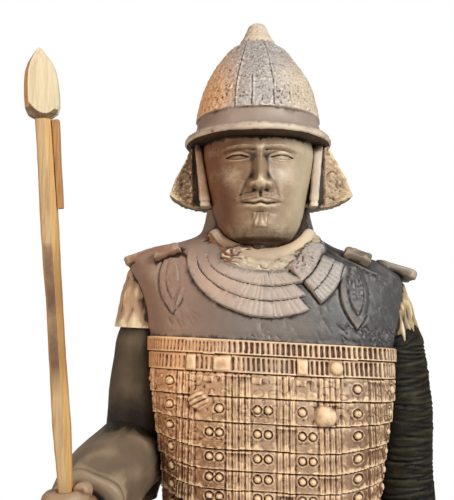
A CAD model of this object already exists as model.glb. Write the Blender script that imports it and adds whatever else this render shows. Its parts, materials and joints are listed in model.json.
import json
import math
from itertools import product

import bpy
import numpy as np
from mathutils import Matrix, Vector

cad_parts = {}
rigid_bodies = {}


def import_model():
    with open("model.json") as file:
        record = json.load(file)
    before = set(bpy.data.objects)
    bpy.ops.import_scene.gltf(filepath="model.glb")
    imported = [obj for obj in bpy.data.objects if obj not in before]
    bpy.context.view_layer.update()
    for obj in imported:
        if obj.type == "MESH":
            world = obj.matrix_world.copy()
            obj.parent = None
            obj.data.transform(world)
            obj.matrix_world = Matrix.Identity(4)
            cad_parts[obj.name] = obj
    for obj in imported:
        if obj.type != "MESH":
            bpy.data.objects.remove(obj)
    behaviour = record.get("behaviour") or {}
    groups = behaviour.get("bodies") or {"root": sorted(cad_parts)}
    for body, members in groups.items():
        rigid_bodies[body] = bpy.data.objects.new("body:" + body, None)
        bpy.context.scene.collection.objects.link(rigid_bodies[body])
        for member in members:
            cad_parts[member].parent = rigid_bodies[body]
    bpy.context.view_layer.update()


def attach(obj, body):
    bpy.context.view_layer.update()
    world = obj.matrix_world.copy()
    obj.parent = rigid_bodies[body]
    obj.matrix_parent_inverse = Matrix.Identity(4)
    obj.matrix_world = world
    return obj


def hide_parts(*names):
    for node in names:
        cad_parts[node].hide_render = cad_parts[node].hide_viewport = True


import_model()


# ------------------------------------------------------------------------------------------------
# The view: the camera stands a little to the figure's right at the height of the shoulders and
# looks slightly up. A large soft lamp hangs high on one side of the front, a warm one stands low
# on the other, and the pale surroundings light the rest. The floor is plain and pale.

EYE = (-0.057, -1.300, 1.373)
LOOK_UP = 6.25  # degrees
LENS = 62.4  # mm, on a 36 mm sensor along the long side

bpy.ops.object.select_all(action="DESELECT")
bpy.ops.object.camera_add(location=EYE, rotation=(math.radians(90 + LOOK_UP), 0, 0))
camera = bpy.context.object
camera.data.lens = LENS
camera.data.clip_end = 60
bpy.context.scene.camera = camera


def soft_lamp(place, aim, size, watts, colour):
    turn = (Vector(aim) - Vector(place)).to_track_quat("-Z", "Y").to_euler()
    bpy.ops.object.light_add(type="AREA", location=place, rotation=turn)
    lamp = bpy.context.object.data
    lamp.size, lamp.energy, lamp.color = size, watts, colour


soft_lamp((1.7, -2.3, 2.9), (0, 0, 1.45), 1.2, 108, (1.0, 0.97, 0.93))
soft_lamp((-2.2, -1.5, 1.8), (0, 0, 1.4), 1.1, 26, (1.0, 0.72, 0.50))


def linear(colour):
    """A colour given as sRGB hex, in the linear values that a shader takes."""
    parts = [int(colour[i : i + 2], 16) / 255 for i in (1, 3, 5)]
    return (*[c / 12.92 if c <= 0.04045 else ((c + 0.055) / 1.055) ** 2.4 for c in parts], 1)


def add(tree, kind, sockets={}, **settings):
    """Adds a node: its settings by name, and its inputs by value or by the output that feeds them."""
    made = tree.nodes.new("ShaderNode" + kind)
    for key, value in settings.items():
        setattr(made, key, value)
    for key, value in sockets.items():
        if isinstance(value, bpy.types.NodeSocket):
            tree.links.new(value, made.inputs[key])
        else:
            made.inputs[key].default_value = value
    return made


# The surroundings look white behind the figure, and light it less than they look.
world = bpy.data.worlds.new("studio")
bpy.context.scene.world = world
world.use_nodes = True
tree = world.node_tree
tree.nodes.clear()
path = add(tree, "LightPath")
seen = add(tree, "Background", {"Color": linear("#ffffff"), "Strength": 1.0})
cast = add(tree, "Background", {"Color": linear("#f3efe8"), "Strength": 0.33})
both = add(tree, "MixShader", {0: path.outputs["Is Camera Ray"], 1: cast.outputs[0], 2: seen.outputs[0]})
add(tree, "OutputWorld", {"Surface": both.outputs[0]})

bpy.ops.mesh.primitive_circle_add(vertices=96, radius=3.2, fill_type="NGON", location=(0, 0, 0))
floor = bpy.context.object
floor.name = "floor"
pale = bpy.data.materials.new("pale floor")
pale.use_nodes = True
pale.node_tree.nodes["Principled BSDF"].inputs["Base Color"].default_value = linear("#ece9e4")
pale.node_tree.nodes["Principled BSDF"].inputs["Roughness"].default_value = 0.8
floor.data.materials.append(pale)
bpy.context.scene.view_settings.view_transform = "Standard"


# ------------------------------------------------------------------------------------------------
# The warrior, chest and cuirass: one hollow body of coiled and beaten clay, with the lamellar
# cuirass, the collar plates and the leaf ornaments cut and pressed into it before firing. The
# relief is cut into one dense skin, as carved clay has no flat faces.

# Everything is in millimetres until it is made a mesh.
GAP = 0.3  # clearance between pieces
BELT_Z, BELT_HIGH, CUIRASS_Z, CHIN_Z, BROW_Z, BRIM_Z, CROWN_Z = 1128, 28, 1378, 1530, 1655, 1676, 1866
LEAN = 0.052  # the shoulders and every band drop towards +X by this slope
CHEST_X = 8
HEAD_X, HEAD_Y = -10, -4

# Height, half width, depth in front, depth behind, squareness.
TORSO = [
    (1040, 145, 100, 98, 2.5),
    (1128, 150, 104, 102, 2.6),
    (1206, 156, 112, 108, 2.7),
    (1303, 171, 118, 114, 2.8),
    (1378, 180, 115, 115, 2.8),
    (1440, 192, 104, 113, 2.7),
    (1476, 203, 90, 104, 2.6),
    (1494, 200, 79, 94, 2.5),
    (1508, 168, 72, 84, 2.3),
    (1521, 120, 61, 84, 2.1),
    (1536, 91, 56, 82, 2),
    (1552, 83, 54, 76, 2),
    (1575, 78, 50, 72, 2),
]


def step(value, low, high):
    """0 below low, 1 above high, and a smooth rise between them."""
    t = np.clip((value - low) / (high - low), 0, 1)
    return t * t * (3 - 2 * t)


def hump(away, spread):
    """1 where away is 0, falling off smoothly over spread to either side."""
    return np.exp(-((away / spread) ** 2))


TORSO = np.array(TORSO, float)
TORSO = np.column_stack(
    [TORSO, CHEST_X + (HEAD_X - CHEST_X) * step(TORSO[:, 0], 1440, 1536), np.full(len(TORSO), 5.0)]
)


def along(table, column, z):
    """A column of a table of sections at height z, on a smooth curve through its rows."""
    heights, values = table[:, 0], table[:, column]
    last = len(heights) - 1
    after, before = np.minimum(np.arange(last + 1) + 1, last), np.maximum(np.arange(last + 1) - 1, 0)
    slope = (values[after] - values[before]) / (heights[after] - heights[before])
    i = np.clip(np.searchsorted(heights, z) - 1, 0, last - 1)
    run = heights[i + 1] - heights[i]
    t = np.clip((z - heights[i]) / run, 0, 1)
    ends = values[i] * (2 * t**3 - 3 * t**2 + 1) + values[i + 1] * (3 * t**2 - 2 * t**3)
    return ends + run * (slope[i] * (t**3 - 2 * t**2 + t) + slope[i + 1] * (t**3 - t**2))


def section(table, angle, z, out=0):
    """Points round a body: angle 0 is the front, a quarter turn is towards +X."""
    angle, z = np.broadcast_arrays(np.asarray(angle, float), np.asarray(z, float))
    power = 2 / along(table, 4, z)
    s, c = np.sin(angle), np.cos(angle)
    deep = np.where(c > 0, along(table, 2, z), along(table, 3, z)) + out
    x = along(table, 5, z) + (along(table, 1, z) + out) * np.sign(s) * np.abs(s) ** power
    y = along(table, 6, z) - deep * np.sign(c) * np.abs(c) ** power
    return np.stack([x, y, z], -1)


def leaning(p):
    """The body's lean, from the belt up to the shoulders."""
    share = step(p[..., 2], 1000, BELT_Z) * (1 - step(p[..., 2], 1512, 1550))
    p = p.copy()
    p[..., 2] -= LEAN * p[..., 0] * share
    return p


def columns(table, z, fine, coarse, reach):
    """Angles round a section, fine millimetres apart for reach each way from the front, then coarse."""
    angle = np.linspace(0, math.pi, 120001)
    points = section(table, angle, z)
    run = np.concatenate([[0], np.cumsum(np.linalg.norm(np.diff(points, axis=0), axis=1))])
    near = np.linspace(0, reach, max(2, round(reach / fine)))
    far = np.linspace(reach, run[-1], max(2, round((run[-1] - reach) / coarse)))[1:]
    half = np.interp(np.concatenate([near, far]), run, angle)
    return np.concatenate([half, 2 * math.pi - half[1:-1][::-1]])


def heights(*stretches):
    """Heights from the bottom up: each stretch is its lower end, its upper end and its spacing."""
    rows = [
        np.linspace(low, high, max(2, round((high - low) / gap)), endpoint=False) for low, high, gap in stretches
    ]
    return np.concatenate([*rows, [stretches[-1][1]]])


LATTICE = np.random.default_rng(11).random((32, 32, 32)) * 2 - 1


def grain(p, size, seed=0):
    """Smooth random numbers from -1 to 1 at points in space, about size millimetres from lump to lump."""
    q = np.asarray(p, float) / size + seed * 5.37
    cell = np.floor(q).astype(int)
    f = q - cell
    f = f * f * (3 - 2 * f)
    total = 0
    for corner in product((0, 1), repeat=3):
        share = 1
        for axis, side in enumerate(corner):
            share = share * (f[..., axis] if side else 1 - f[..., axis])
        i, j, k = [(cell[..., axis] + corner[axis]) % 32 for axis in range(3)]
        total = total + share * LATTICE[i, j, k]
    return total


def outwards(rings):
    """The direction straight out of a skin of rings at each of its points."""
    side = np.roll(rings, -1, 1) - np.roll(rings, 1, 1)
    up = np.gradient(rings, axis=0)
    normal = np.cross(side, up)
    return normal / np.maximum(np.linalg.norm(normal, axis=-1, keepdims=True), 1e-9)


def closed_skin(name, rings, materials, pick=None, loop=False):
    """Closes a skin of rings, each a row of points round the form, into one body. pick gives each
    face's material by its row and column, and a loop joins the last ring to the first."""
    rows, count = rings.shape[:2]
    here = np.arange(rows * count).reshape(rows, count)
    beside = np.roll(here, -1, 1)
    if loop:
        above, above_beside = np.roll(here, -1, 0), np.roll(beside, -1, 0)
        quads = np.stack([here, beside, above_beside, above], -1).reshape(-1, 4)
        points, lids = rings.reshape(-1, 3), np.zeros((0, 3), int)
    else:
        quads = np.stack([here[:-1], beside[:-1], beside[1:], here[1:]], -1).reshape(-1, 4)
        foot, head = rows * count, rows * count + 1
        ends = [(foot, beside[0], here[0]), (head, here[-1], beside[-1])]
        lids = np.concatenate([np.stack([np.full(count, c), p, q], -1) for c, p, q in ends])
        points = np.concatenate([rings.reshape(-1, 3), [rings[0].mean(0), rings[-1].mean(0)]])
    a, b, c, d = [points[quads[:, k]] for k in range(4)]
    e, f, g = [points[lids[:, k]] for k in range(3)]
    inside = (a * np.cross(b, c)).sum() + (a * np.cross(c, d)).sum() + (e * np.cross(f, g)).sum()
    faces = quads.tolist() + lids.tolist()
    if inside < 0:
        faces = [face[::-1] for face in faces]
    mesh = bpy.data.meshes.new(name)
    mesh.from_pydata((points / 1000).tolist(), [], faces)
    for material in materials:
        mesh.materials.append(material)
    if pick is not None:
        chosen = np.zeros(len(faces), np.int32)
        picked = pick if loop else pick[:-1]
        chosen[: len(quads)] = picked.reshape(-1)
        mesh.polygons.foreach_set("material_index", chosen)
    made = bpy.data.objects.new(name, mesh)
    bpy.context.scene.collection.objects.link(made)
    return made


clay_parts = []


def clay_form(*form, **how):
    """One of the forms that the warrior is built up from."""
    clay_parts.append(closed_skin(*form, **how))


def fired_clay(
    name, cut, warm, body, far, worn, gloss, grit, turns=(-0.17, 0.0, 0.06, 0.16), pitted=0.16, gain=1.0,
    ends=None, laid=None, sheen=0.5,
):
    """Low-fired grey-brown clay: dark in the cuts, satin on the body with cloudy kiln tones that change
    across the figure, and paler where it stands proud and is rubbed. grit is the grain in millimetres,
    and turns are the places across the figure, in metres, between which the warm, the middle and the far
    tone change. pitted is how far the grit breaks up the rubbing, and gain how sharply it is rubbed. ends
    is another tone for one end: the heights where it is full and where it stops, its colour, its share,
    and how much of that there is in the middle. laid holds the three tones of plates laid on."""
    made = bpy.data.materials.new(name)
    made.use_nodes = True
    tree = made.node_tree
    tree.nodes.clear()
    eased = {"interpolation_type": "SMOOTHSTEP"}
    place = add(tree, "TexCoord").outputs["Object"]
    wear = add(tree, "Attribute", attribute_name="wear").outputs["Fac"]
    form = add(tree, "Attribute", attribute_name="form").outputs["Fac"]
    cloud = add(tree, "TexNoise", {"Vector": place, "Scale": 13, "Detail": 5, "Roughness": 0.62}).outputs["Fac"]
    speck = add(
        tree, "TexNoise", {"Vector": place, "Scale": 1000 / grit, "Detail": 3, "Roughness": 0.7}
    ).outputs["Fac"]
    # Height above the surroundings, made ragged by the specks and the clouds.
    clouds = 0.12
    proud = add(tree, "Math", {0: wear, 1: gain, 2: 0.5 - 0.5 * gain}, operation="MULTIPLY_ADD").outputs[0]
    proud = add(tree, "Math", {0: speck, 1: pitted, 2: proud}, operation="MULTIPLY_ADD").outputs[0]
    proud = add(tree, "Math", {0: cloud, 1: clouds, 2: proud}, operation="MULTIPLY_ADD").outputs[0]
    proud = add(tree, "Math", {0: proud, 1: 0.5 * (pitted + clouds)}, operation="SUBTRACT").outputs[0]
    in_cut = add(tree, "MapRange", {"Value": proud, "From Min": 0.16, "From Max": 0.47}, **eased).outputs[0]
    on_top = add(
        tree, "MapRange", {"Value": proud, "From Min": 0.54, "From Max": 0.95, "To Max": 0.85}, **eased
    ).outputs[0]
    # The clay's colour as it came out of the kiln: warm on the figure's right side, cool on its left.
    drift = 0.07
    parts = add(tree, "SeparateXYZ", {0: place}).outputs
    across = add(tree, "Math", {0: cloud, 1: drift, 2: parts["X"]}, operation="MULTIPLY_ADD").outputs[0]
    warm_side, far_side = [
        add(
            tree, "MapRange", {"Value": across, "From Min": low + drift / 2, "From Max": high + drift / 2}, **eased
        ).outputs[0]
        for low, high in [(turns[1], turns[0]), (turns[2], turns[3])]
    ]
    tints = []
    for right, middle, left in [(warm, body, far), laid] if laid else [(warm, body, far)]:
        sockets = {"Fac": warm_side, "Color1": linear(middle), "Color2": linear(right)}
        tint = add(tree, "MixRGB", sockets).outputs[0]
        sockets = {"Fac": far_side, "Color1": tint, "Color2": linear(left)}
        tints.append(add(tree, "MixRGB", sockets).outputs[0])
    tint = tints[0]
    if laid:
        plated = add(tree, "Attribute", attribute_name="laid").outputs["Fac"]
        tint = add(tree, "MixRGB", {"Fac": plated, "Color1": tint, "Color2": tints[1]}).outputs[0]
    if ends:
        full, stop, tone, share, in_middle = ends
        level = add(tree, "Math", {0: cloud, 1: 0.02, 2: parts["Z"]}, operation="MULTIPLY_ADD").outputs[0]
        sockets = {"Value": level, "From Min": stop, "From Max": full, "To Max": share}
        there = add(tree, "MapRange", sockets, **eased).outputs[0]
        aside = add(tree, "Math", {0: warm_side, 1: far_side}, operation="MAXIMUM").outputs[0]
        aside = add(tree, "MapRange", {"Value": aside, "To Min": in_middle}).outputs[0]
        there = add(tree, "Math", {0: there, 1: aside}, operation="MULTIPLY").outputs[0]
        tint = add(tree, "MixRGB", {"Fac": there, "Color1": tint, "Color2": linear(tone)}).outputs[0]
    sockets = {"Value": cloud, "From Min": 0.3, "From Max": 0.7, "To Min": 0.84, "To Max": 1.14}
    clouded = add(tree, "MapRange", sockets).outputs[0]
    tint = add(tree, "MixRGB", {"Fac": 1, "Color1": tint, "Color2": clouded}, blend_type="MULTIPLY").outputs[0]
    tint = add(tree, "MixRGB", {"Fac": in_cut, "Color1": linear(cut), "Color2": tint}).outputs[0]
    tint = add(tree, "MixRGB", {"Fac": on_top, "Color1": tint, "Color2": linear(worn)}).outputs[0]
    # Soot and dust lie where a broad form sinks in.
    sockets = {"Value": form, "From Min": 0.0, "From Max": 0.42, "To Min": 0.55, "To Max": 1.0}
    sunk = add(tree, "MapRange", sockets).outputs[0]
    tint = add(tree, "MixRGB", {"Fac": 1, "Color1": tint, "Color2": sunk}, blend_type="MULTIPLY").outputs[0]
    sockets = {"Value": speck, "From Min": 0.3, "From Max": 0.7, "To Min": gloss, "To Max": gloss + 0.16}
    dull = add(tree, "MapRange", sockets).outputs[0]
    sockets = {"Height": speck, "Strength": min(0.22 + 0.45 * pitted, 0.85), "Distance": 0.001}
    rough = add(tree, "Bump", sockets).outputs[0]
    shader = add(
        tree, "BsdfPrincipled",
        {"Base Color": tint, "Roughness": dull, "Normal": rough, "IOR": 1.5, "Specular IOR Level": sheen},
    )
    add(tree, "OutputMaterial", {"Surface": shader.outputs[0]})
    return made


# The chest is satin and smoked grey on the figure's left, the cuirass orange and rubbed pale.
chest_clay = fired_clay(
    "fired clay, chest and collar plates", "#2c231e", "#927667", "#6e6762", "#3f4042", "#9a918a", 0.42, 3.0,
    turns=(-0.17, 0.0, 0.02, 0.1), laid=("#c59c84", "#ab9d92", "#aaa6a3"),
)
under_clay = fired_clay(
    "fired clay, smoked throat and brim", "#1a0f06", "#38220f", "#33200f", "#38240f", "#54391f", 0.5, 3.0
)
cuirass_clay = fired_clay(
    "fired clay, rubbed cuirass", "#4a260f", "#cd976a", "#b1967c", "#86705a", "#ecd0a9", 0.40, 2.4,
    pitted=0.3, gain=1.65, ends=(1.2, 1.36, "#643b20", 0.85, 0.25),
)
collar_clay = fired_clay(
    "fired clay, rolled hem", "#3f322a", "#7f5e48", "#a8947e", "#c6b291", "#cdbdac", 0.42, 2.6,
    turns=(-0.075, -0.025, 0.0, 0.05),
)
scarf_clay = fired_clay(
    "fired clay, crumpled scarf", "#2c1d11", "#7a533c", "#b3a592", "#a59b86", "#dccfb8", 0.46, 2.6,
    turns=(-0.055, -0.022, 0.03, 0.07),
)

BAND_HEIGHTS = [20, 24, 32, 34, 36, 28, 26, 25, 25]
BAND_TOPS = CUIRASS_Z - np.concatenate([[0], np.cumsum(BAND_HEIGHTS)])
LACES = [(-114, 12), (-44, 17), (22.5, 12.5), (81, 15), (148, 12)]  # middle and half width
STUD_PAIRS = [(-136, 5.5), (-76, 6.5), (-11.8, 7.2), (51, 7), (119, 5)]  # middle and half spacing
BOSSES = [(-97, 1295, 16, 9), (75, 1281, 18, 11)]  # x, z, radius, how far it stands out
GORGET_X, GORGET_Z = -5, 1493


def pulse(away, half, soft):
    """1 within half of the middle, falling to 0 over soft."""
    return 1 - step(np.abs(away), half, half + soft)


def stud(u, z, at_u, at_z, r):
    """A clay button pressed on inside a ringed groove."""
    d = np.hypot(u - at_u, z - at_z)
    button = 4.2 * np.sqrt(np.clip(1 - (d / r) ** 2, 0, 1))
    return button - 1.5 * hump(d - r - 1.0, 1.0) + 1.3 * hump(d - r - 3.0, 1.1)


def combs(u, z, k, t, p):
    """A row of upright slats with deep slits between them."""
    pitch = np.where(u < -62, 4.9, 7.5) if k == 0 else np.where(u < -50, 6.0, 6.8)
    pitch = np.where(np.abs(u) > 190, 12.0, pitch)
    wobble = u + 0.5 * grain(p, 9, 3)
    cell = np.floor(wobble / pitch)
    away = np.abs(wobble / pitch - cell - 0.5) * pitch
    chance = np.abs(np.sin(cell * 12.9898 + k * 78.2)) % 1
    half = 0.23 * pitch * (0.75 + 0.5 * chance)
    shallow = 1 - 0.62 * step(-u, 40, 100) - (0.45 * pulse(u + 6, 38, 12) if k else 0.2 * pulse(u + 20, 50, 30))
    ends = step(t, 0.10, 0.24) * (1 - step(t, 0.80, 0.94))
    slit = (1 - step(away, half - 0.6, half + 0.7)) * ends * (0.65 + 0.35 * chance)
    out = 4 + 2.5 * t - 3.6 * slit * shallow
    if k == 1:
        for at, half_wide, high in [(-107.5, 5, 2.4), (-66, 10.5, 3.0), (45, 6.5, 3.2), (91, 8, 0)]:
            plate = pulse(u - at, half_wide, 1.2) * step(t, 0.1, 0.2) * (1 - step(t, 0.86, 0.96))
            flat = 4 + 2.5 * t + high
            out = np.where(plate > 0.02, out * (1 - plate) + flat * plate, out)
            out = out - 1.2 * hump(np.abs(u - at) - half_wide - 1.6, 0.9) * (plate < 0.5)
        knob = np.hypot(u - 91, (t - 0.5) * 23)
        out = out + 6 * np.sqrt(np.clip(1 - (knob / 8.6) ** 2, 0, 1))
    return out


def plates(u, z, k, t, p):
    """A band of plates: laced slats between fields that carry a pair of studs."""
    high = BAND_HEIGHTS[k]
    out = 4.5 + 2.6 * t
    for j, (at, half) in enumerate(LACES):
        count = max(3, round(2 * half / 8.4))
        pitch = 2 * half / count
        a = u - at
        slat = np.mod(a + half, pitch) - pitch / 2
        here = pulse(a, half - 0.3, 0.6)
        ribs = 2.3 * pulse(slat, pitch / 2 - 1.9, 1.1) - 0.9 * hump(slat + 0.2, 0.75) - 0.6
        short = 1.6 * hump((t - 0.14) * high, 1.0) if (j + k) % 3 == 0 else 0
        out = out + here * (ribs + short) * step(t, 0.03, 0.1)
        out = out - 1.3 * hump(np.abs(a) - half - 0.9, 0.9)
    back = np.abs(u) >= 168
    a = np.mod(u + 43 + 32, 64) - 32
    slats = pulse(np.mod(a + 12, 8) - 4, 2.4, 1.4) * pulse(a, 11.5, 1)
    out = out + back * (2.2 * slats - 1.2 * hump(np.abs(a) - 13, 1.6))
    at_z = BAND_TOPS[k] - high * (0.48 if k < 4 else 0.40)
    for j, (at, half) in enumerate(STUD_PAIRS):
        single = j in (0, 4) or (k == 3 and j in (1, 3))
        r = 5.0 if single else 4.4
        places = [at - half, at + half]
        if single:
            places = [at if j in (0, 4) else at + (1 if j == 1 else -1) * half]
        if k == 2 and j in (1, 2, 3):
            # Only traces of the studs are left here, between curled and squared strokes.
            out = out + 1.2 * hump(np.hypot(u - at - 4, z - at_z - 4) - 7, 1.1) * (z > at_z)
            out = out + 1.6 * pulse(u - at + 8, 6, 1) * pulse((t - 0.30) * high, 3.0, 1)
            continue
        for place in places:
            out = out + stud(u, z, place, at_z, r)
        if k in (4, 5, 6) and j in (1, 2, 3) and (j + k) % 2:
            a, b = u - at, z - at_z
            near = pulse(a, half + 6, 2) * pulse(b, 8, 2)
            cross = hump((a - b) / 1.414, 0.8) + hump((a + b) / 1.414, 0.8)
            out = out - 1.1 * cross * near
        if k == 3 and j == 2:
            a, b = np.abs(u - at - 7) + np.abs(z - at_z), np.abs(u - at + 7) + np.abs(z - at_z + 2)
            out = out + 1.5 * (pulse(a, 6, 1.2) + pulse(b, 7, 1.2)) - 1.0 * (hump(a - 9, 1) + hump(b - 10, 1))
        if not single:
            low = pulse(u - at, half + 8, 2) * step(t, 0.55, 0.66)
            out = out - 0.7 * low * (0.5 + 0.5 * np.sin(z * 2.3 + 2 * grain(p, 7, 5))) * (grain(p, 5, 8) > -0.3)
    a = np.mod(u + 11 + 32, 64) - 32
    out = out + back * stud(a, z, 0, at_z, 6)
    # Chatter of the tool and crusts of clay, strongest on the upper plates to the figure's right.
    squiggle = np.abs(grain(p, 8, 13 + k))
    crust = step(-u, -20, 90) * (1 if k < 5 else 0.6)
    out = out - 1.1 * hump(squiggle, 0.12) * np.clip((0.9 if k in (2, 3) else 0.35) + 0.6 * crust, 0, 1)
    out = out + (0.35 + 0.6 * crust) * grain(p, 4.5, 50 + k)
    return out


def cuirass(u, z, p):
    """How far the cuirass stands off the body below its top edge."""
    side_rise = 12 * step(np.abs(u), 85, 165) * (1 - step(z, 1225, 1300))
    zc = z - side_rise + 1.1 * grain(np.stack([u, 0 * u, 0 * u], -1), 46, 2)
    out = np.full(u.shape, 8.0)
    for k, high in enumerate(BAND_HEIGHTS):
        top = BAND_TOPS[k]
        t = (top - zc) / high
        row = (combs if k < 2 else plates)(u, zc, k, np.clip(t, 0, 1), p)
        inside = (t >= 0) & (t < 1)
        out = np.where(inside, row - 1.6 * hump(t * high - 0.4, 1.5) * (k > 0), out)
    for x, zb, r, rise in BOSSES:
        # What is left of two bosses: one worn round, the other broken off at a slant.
        a, b = u - x, z - zb
        broken = x < 0
        d = np.hypot(a, b * 1.1) * (1 + 0.10 * grain(p, 8, 4))
        dome = rise * np.clip(1 - (d / r) ** 2, 0, 1) ** (0.75 if broken else 0.85)
        if broken:
            dome = np.minimum(dome, np.maximum(6.0 - 0.22 * a + 0.26 * b + 1.2 * grain(p, 6, 9), 0))
            scores = np.mod(0.5 * a - 0.86 * b + 0.8 * grain(p, 9, 2), 6.4) - 3.2
            dome = dome - 2.6 * hump(scores, 1.1) * step(dome, 1, 3)
        else:
            dome = dome + 1.6 * grain(p, 13, 31) + 0.5 * grain(p, 3.4, 37)
        cover = step(r - d, 0, 0.3 * r)
        out = out * (1 - cover) + (5.0 + dome) * cover - 1.5 * hump(d - r - 2.5, 3.5)
    return out


def strokes(u, z, seed, count, box, length, slant, width):
    """Short cuts scattered in a box: 1 in the middle of a cut, 0 away from it."""
    rng = np.random.default_rng(seed)
    total = np.zeros(u.shape)
    for _ in range(count):
        x0, z0 = rng.uniform(box[0], box[1]), rng.uniform(box[2], box[3])
        turn = math.radians(rng.normal(slant[0], slant[1]))
        long = rng.uniform(0.4, 1) * length
        dx, dz = math.cos(turn), math.sin(turn)
        a = (u - x0) * dx + (z - z0) * dz
        b = -(u - x0) * dz + (z - z0) * dx + 0.02 * rng.normal() * a * a / length * 4
        total = np.maximum(total, pulse(a, long / 2, 2.5) * hump(b, width * rng.uniform(0.7, 1.2)))
    return total


def gorget(u, z, p):
    """Three rows of radiating slips round the neckline, and a deeper-cut patch beside them."""
    dx, dz = u - GORGET_X, GORGET_Z - z
    turn = np.degrees(np.arctan2(dx, dz))
    r = np.hypot(dx, dz)
    s, c = np.sin(np.radians(turn)), np.cos(np.radians(turn))
    edges = [
        1 / np.sqrt((s / wide) ** 2 + (c / deep) ** 2)
        for wide, deep in [(66, 20), (83, 41), (98, 61), (112, 83)]
    ]
    edges = [np.where(np.abs(turn) > 90, w, e) for e, w in zip(edges, (66, 83, 98, 112))]
    worn = 1 - 0.8 * step(-turn, 15, 55)
    # Beyond the rows, towards the figure's left shoulder, lie small tiles and then the patch, which
    # bend round another middle, higher up.
    turn2, r2 = np.degrees(np.arctan2(u + 12, 1536 - z)), np.hypot(u + 12, 1536 - z)
    course = (r2 - 62) / 8.4
    tile = turn2 / 4.6 + 0.5 * np.mod(np.floor(course), 2) + 0.3 * grain(p, 9, 60)
    joints = hump((np.mod(course, 1) - 0.5) * 8.4, 0.7) + hump((np.mod(tile, 1) - 0.5) * 7, 0.7)
    mask = (
        step(r2 - 68, -0.7, 0.7) * (1 - step(r2 - 95.5, -0.8, 0.6)) * step(turn2, 36, 39)
        * (1 - step(z, 1521, 1525))
    )
    out = mask * (7.4 - 1.5 * np.clip(joints, 0, 1) * step(turn2, 37, 46) + 0.4 * grain(p, 6, 61))
    for i, (end, rise, slip_wide) in enumerate([(60, 8.6, 6.4), (50, 7.4, 5.6), (42, 6.4, 5.4)]):
        inner, outer = edges[i], edges[i + 1]
        ragged = 0.8 * grain(p, 14, i)
        within = step(r - inner + ragged, -0.7, 0.7) * (1 - step(r - outer + ragged, -0.8, 0.6))
        ends = (1 - step(turn, end - 1, end + 0.5)) * (1 - step(-turn, 104, 108))
        cell = (turn + 1.6 * grain(p, 30, 20 + i)) / slip_wide
        line = np.abs(cell - np.floor(cell) - 0.5)
        across = np.radians(1) * r * slip_wide
        chance = np.abs(np.sin(np.floor(cell + 0.5) * 7.13 + i * 3.1)) % 1
        slip = hump((0.5 - line) * across, 0.65) * np.clip(1.5 * chance - 0.2, 0.1, 1)
        here = within * ends
        tilt = (r - inner) / np.maximum(outer - inner, 1)
        sinks = 1 - 0.92 * step(-turn, 70, 104)
        seam = 0.9 * hump(r - inner, 1.0) * (i > 0) * (0.5 + 0.5 * worn)
        body = (rise - 0.9 + 0.9 * tilt - 1.0 * slip * worn - seam) * sinks
        out = np.where(here > mask, body * here, out)
        mask = np.maximum(mask, here)
    for i, (inner, outer, rise, slip_wide) in enumerate([(96.5, 114.5, 9.2, 3.7), (114.5, 133, 7.8, 2.9)]):
        here = (
            step(turn2, 39.4, 40.2) * (1 - step(turn2, 68, 71)) * step(r2 - inner, -0.7, 0.7)
            * (1 - step(r2 - outer, -0.7, 0.7))
        )
        cell = turn2 / slip_wide + 0.15 * grain(p, 12, 62 + i)
        away = (0.5 - np.abs(cell - np.floor(cell) - 0.5)) * np.radians(1) * r2 * slip_wide
        body = rise - 1.7 * hump(away, 0.8) - 1.4 * hump(r2 - inner, 1.0)
        out = np.where(here > 0.02, np.maximum(body * here, out * (1 - here)), out)
        mask = np.maximum(mask, here)
    rim = hump(turn2 - 39, 0.55) * step(r2, 94, 97) * (1 - step(r2, 133, 135))
    ends = step(turn2, 38.5, 40) * (1 - step(turn2, 68, 71))
    rim = rim + (hump(r2 - 95.8, 1.0) + 0.9 * hump(r2 - 134.5, 1.3)) * ends
    out = out - 2.4 * np.clip(rim, 0, 1)
    return out, mask


def leaf(u, z, p, x, top, bottom, half, worn):
    """A pointed leaf on the chest: an outline cut round a flat band, and a smaller leaf of curls in it."""
    v = np.clip((top - z) / (top - bottom), -0.2, 1.2)
    a = u - x - 3 * (v - 0.5)
    wide = half * np.clip(1 - np.abs((v - 0.42) / 0.59) ** 2.2, -1, 1) - 2.0 * step(v, 0.6, 1.0) * (v < 1)
    d = np.where((v < 0) | (v > 1), 9, np.abs(a) - wide)
    w = np.clip((top - 3 - z) / (top - bottom - 24), -0.2, 1.2)
    d2 = np.abs(a - 1.5) - (half - 9.5) * np.clip(1 - np.abs((w - 0.45) / 0.56) ** 2.4, -1, 1)
    d2 = np.where((w < 0) | (w > 1), 9, d2)
    open_side = step(a, 2, 10) * (1 - step(v, 0.62, 0.8))
    outline = hump(d - 0.6, 1.5) * (1 - (0.85 if half > 20 else 1.0) * open_side)
    inside = step(-d, 0, 2) * (1 - 0.8 * open_side * (1 - step(-d, 2, 9)))
    inline = hump(d2, 1.0) * np.clip(0.35 + 1.2 * np.abs(grain(p, 26, 44)) + (v > 0.4), 0, 1)
    curls = hump(np.abs(grain(p * [1, 1, 0.7], 5.5, 41)), 0.18)
    heart = step(-d2, 0.2, 1.5) * (1.0 - 1.3 * curls)
    return (2.2 * inside + heart) * worn, -(3.0 * outline + 1.7 * inline) * worn, step(-d, -1, 1)


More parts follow.
